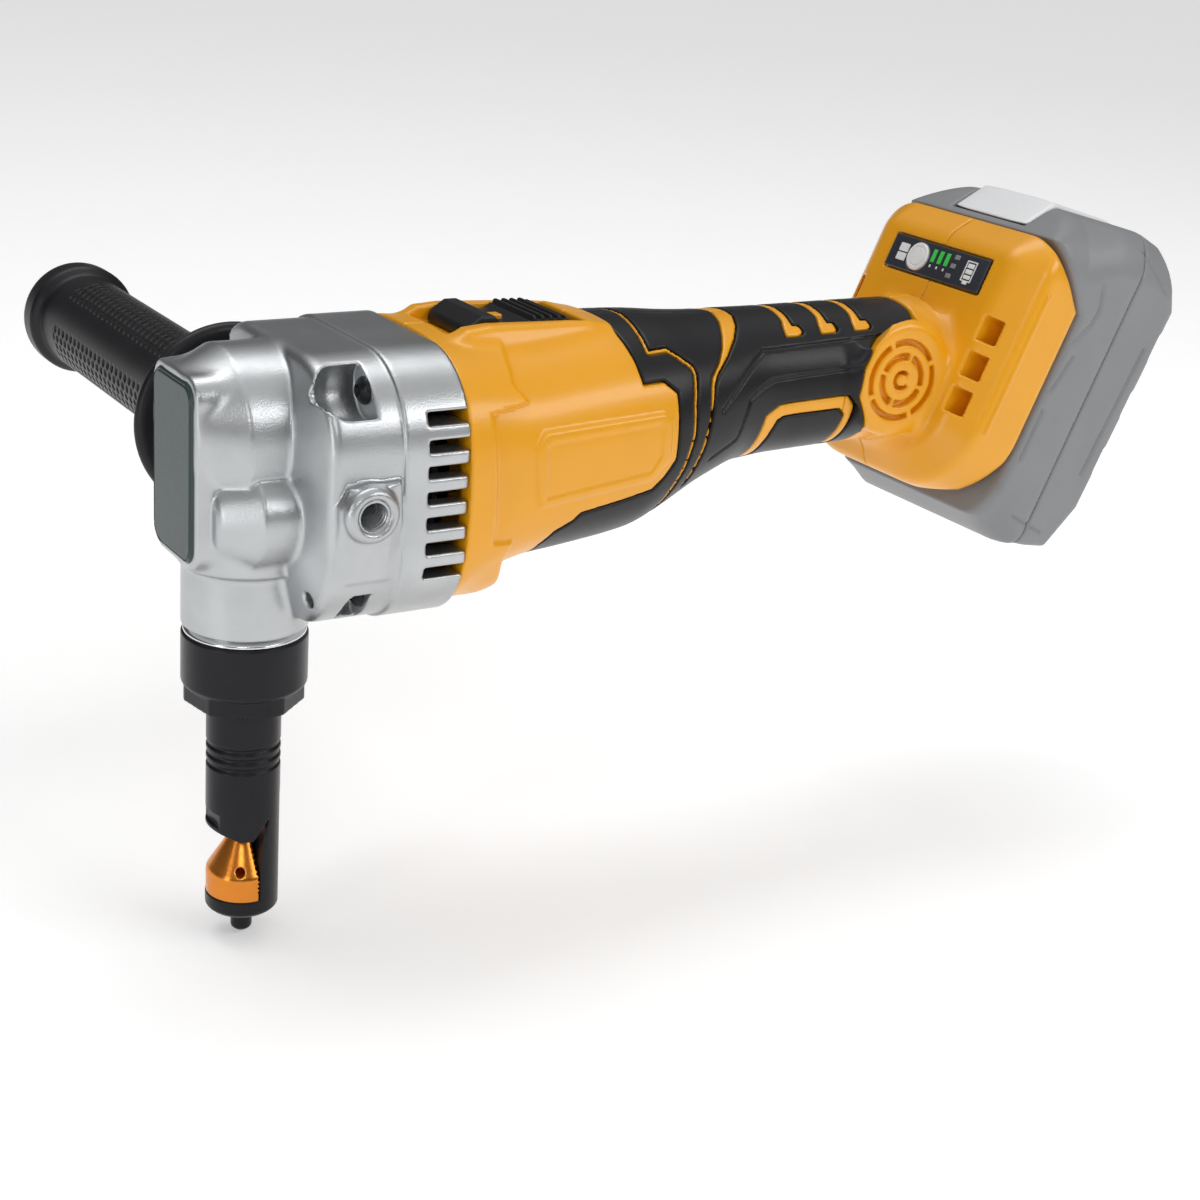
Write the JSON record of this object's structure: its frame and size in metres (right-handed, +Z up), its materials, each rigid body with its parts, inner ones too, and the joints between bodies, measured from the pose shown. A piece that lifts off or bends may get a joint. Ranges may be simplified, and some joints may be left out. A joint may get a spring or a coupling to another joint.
{
  "type": "cordless nibbler",
  "caption": "Cordless sheet-metal nibbler with gear head, turnable die holder, side handle, slide switch, barrel grip and slide-off battery pack.",
  "frame": {"origin": "lowest point of the nose, on the punch axis", "axes": "+Z up along the punch axis, +X along the motor axis towards the battery, side handle on +Y"},
  "size_m": [0.3064, 0.2186, 0.1972],
  "materials": {
    "bearing_steel": "ground",
    "black_plastic": "moulded",
    "black_rubber": "soft over-moulding",
    "black_steel": "black oxide, satin",
    "blue_wire": "insulated lead",
    "bright_steel": "machined",
    "bronze": "sintered bronze",
    "cast_alloy": "die-cast, fine satin grain",
    "cell_wrap": "shrink wrap",
    "circuit_board": "solder mask",
    "copper_coat": "copper-orange hard coating",
    "copper_wire": "enamelled wire",
    "cream_plastic": "moulded",
    "dark_plate": "satin dark green-grey",
    "display_film": "printed film",
    "green_led": "diffused lens",
    "lamination": "laminated steel",
    "magnet": "nickel plated",
    "nylon": "glass-filled nylon",
    "orange_plastic": "satin moulded",
    "pack_grey": "fine textured",
    "red_wire": "insulated lead",
    "terminal": "plated",
    "white_plastic": "smooth"
  },
  "bodies": {
    "tool_body": {"gear_case": "cast_alloy", "front_plate": "dark_plate", "gear_case_screws": "black_steel", "bearing_plate": "cast_alloy", "rotor_front_bearing": "bearing_steel", "rotor_rear_bearing": "bearing_steel", "crank_front_bearing": "bearing_steel", "crank_rear_bearing": "bearing_steel", "ram_bush": "bronze", "housing_left": "orange_plastic", "housing_right": "orange_plastic", "overmould_left": "black_rubber", "overmould_right": "black_rubber", "shell_screws": "black_steel", "switch_body": "black_plastic", "stator_core": "lamination", "stator_windings": "copper_wire", "stator_insulators": "cream_plastic", "motor_bracket": "nylon", "fan_baffle": "orange_plastic", "controller_board": "circuit_board", "motor_leads": "blue_wire", "battery_leads": "red_wire", "terminal_block": "black_plastic", "display_panel": "display_film", "display_board": "circuit_board", "display_leds": "green_led"},
    "rotor": {"rotor_shaft": "bearing_steel", "rotor_core": "lamination", "rotor_magnets": "magnet", "pinion": "bearing_steel", "fan": "nylon"},
    "crank": {"crankshaft": "bearing_steel", "crank_gear": "bearing_steel", "crank_circlips": "black_steel", "yoke_bearing": "bearing_steel"},
    "ram": {"ram": "bearing_steel"},
    "punch": {"punch": "copper_coat"},
    "die_head": {"die_holder": "black_steel", "die": "copper_coat", "die_screw": "black_steel"},
    "nose_ring": {"nose_ring": "bright_steel"},
    "collar_nut": {"collar_nut": "black_steel"},
    "handle_washer": {"handle_washer": "black_rubber"},
    "side_handle": {"side_handle_core": "nylon", "side_handle_grip": "black_rubber", "side_handle_stud": "bright_steel"},
    "switch": {"switch_slider": "black_plastic", "switch_link": "bearing_steel"},
    "display_button": {"display_button": "white_plastic"},
    "battery": {"battery_top_shell": "pack_grey", "battery_bottom_shell": "pack_grey", "latch_spring": "bearing_steel", "battery_cells": "cell_wrap", "cell_frame": "black_plastic", "battery_board": "circuit_board", "battery_terminals": "terminal", "battery_screws": "black_steel"},
    "latch_button": {"latch_button": "white_plastic"}
  },
  "joints": [
    {"name": "rotor_spin", "type": "hinge", "parent": "tool_body", "child": "rotor", "pos_m": [0.06, 0, 0.131], "axis": [1, 0, 0], "continuous": true},
    {"name": "crank_spin", "type": "hinge", "parent": "tool_body", "child": "crank", "pos_m": [0.01, 0, 0.14545], "axis": [1, 0, 0], "continuous": true},
    {"name": "ram_slide", "type": "slide", "parent": "tool_body", "child": "ram", "axis": [0, 0, 1], "range_m": [-0.0025, 0.0025]},
    {"name": "die_turn", "type": "hinge", "parent": "tool_body", "child": "die_head", "pos_m": [0, 0, 0.05], "axis": [0, 0, 1], "range_deg": [-180, 180]},
    {"name": "punch_turn", "type": "hinge", "parent": "ram", "child": "punch", "pos_m": [0, 0, 0.05], "axis": [0, 0, 1], "range_deg": [-180, 180]},
    {"name": "nut_turn", "type": "hinge", "parent": "nose_ring", "child": "collar_nut", "pos_m": [0, 0, 0.08], "axis": [0, 0, -1], "range_deg": [0, 1440]},
    {"name": "ring_drop", "type": "slide", "parent": "tool_body", "child": "nose_ring", "axis": [0, 0, -1], "range_m": [0, 0.006]},
    {"name": "handle_turn", "type": "hinge", "parent": "handle_washer", "child": "side_handle", "pos_m": [0.015, 0.1, 0.131], "axis": [0, 1, 0], "range_deg": [0, 3600]},
    {"name": "washer_out", "type": "slide", "parent": "tool_body", "child": "handle_washer", "axis": [0, 1, 0], "range_m": [0, 0.0125]},
    {"name": "switch_slide", "type": "slide", "parent": "tool_body", "child": "switch", "axis": [-1, 0, 0], "range_m": [0, 0.005]},
    {"name": "display_press", "type": "slide", "parent": "tool_body", "child": "display_button", "axis": [0.9171, 0, -0.3987], "range_m": [0, 0.0008], "stiffness_N_per_m": 800},
    {"name": "battery_slide", "type": "slide", "parent": "tool_body", "child": "battery", "axis": [0.3987, 0, 0.9171], "range_m": [0, 0.06]},
    {"name": "latch_press", "type": "slide", "parent": "battery", "child": "latch_button", "axis": [0.9171, 0, -0.3987], "range_m": [0, 0.003], "stiffness_N_per_m": 600}
  ],
  "couplings": [
    {"joint": "crank_spin", "follows": "rotor_spin", "ratio": -0.38462},
    {"joint": "punch_turn", "follows": "die_turn", "ratio": 1},
    {"joint": "ring_drop", "follows": "nut_turn", "m_per_rad": 0.00023873},
    {"joint": "washer_out", "follows": "handle_turn", "m_per_rad": 0.00019894}
  ]
}
